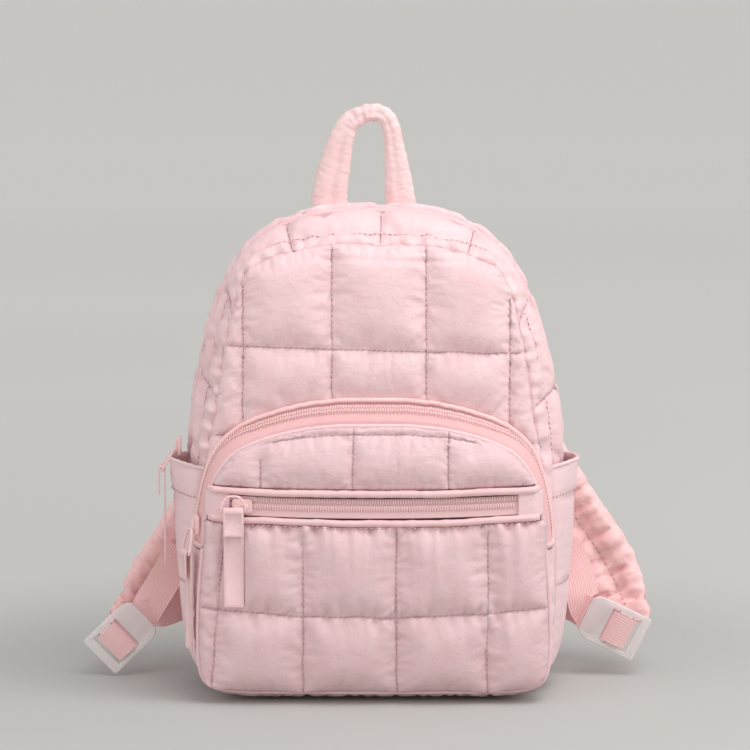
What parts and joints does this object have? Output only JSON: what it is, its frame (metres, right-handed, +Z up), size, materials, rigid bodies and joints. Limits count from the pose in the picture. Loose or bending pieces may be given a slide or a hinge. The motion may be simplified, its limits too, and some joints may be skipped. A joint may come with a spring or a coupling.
{
  "type": "mini backpack",
  "caption": "Small quilted backpack with a zipped front pocket, side pockets, grab handle and padded shoulder straps, standing on its base.",
  "frame": {"origin": "Middle of the flat face of the base, on the ground.", "axes": "+Z up, the front with the zipped pocket faces -Y, +X to the right as seen from the front."},
  "size_m": [0.353, 0.1299, 0.3544],
  "materials": {
    "quilted_nylon": "soft crinkled nylon, quilted and padded",
    "plain_nylon": "soft crinkled nylon, unpadded",
    "strap_nylon": "soft nylon over foam",
    "zip_tape": "woven zip tape with a plastic coil",
    "webbing": "ribbed webbing",
    "clear_plastic": "translucent moulded plastic",
    "pull_tab": "folded coated strip with stitched edges",
    "pull_metal": "enamelled zip slider and wire"
  },
  "bodies": {
    "root": {"front_panel": "quilted_nylon", "front_gusset": "quilted_nylon", "main_zip": "zip_tape", "rear_gusset": "quilted_nylon", "back_panel": "quilted_nylon", "base_panel": "quilted_nylon", "pocket_upper": "quilted_nylon", "pocket_lower": "quilted_nylon", "pocket_zip_band": "zip_tape", "pocket_side": "quilted_nylon", "welt_tape": "zip_tape", "welt_lip_upper": "plain_nylon", "welt_lip_lower": "plain_nylon", "welt_end_left": "plain_nylon", "welt_end_right": "plain_nylon", "side_pocket_left": "plain_nylon", "side_pocket_right": "plain_nylon", "grab_handle": "strap_nylon", "strap_left": "strap_nylon", "webbing_left": "webbing", "buckle_left": "clear_plastic", "strap_right": "strap_nylon", "webbing_right": "webbing", "buckle_right": "clear_plastic", "welt_tab": "pull_tab", "welt_ring": "pull_metal", "welt_slider": "pull_metal", "pocket_tab": "pull_tab", "pocket_ring": "pull_metal", "pocket_slider": "pull_metal", "main_tab": "pull_tab", "main_ring": "pull_metal", "main_slider": "pull_metal"}
  },
  "joints": []
}
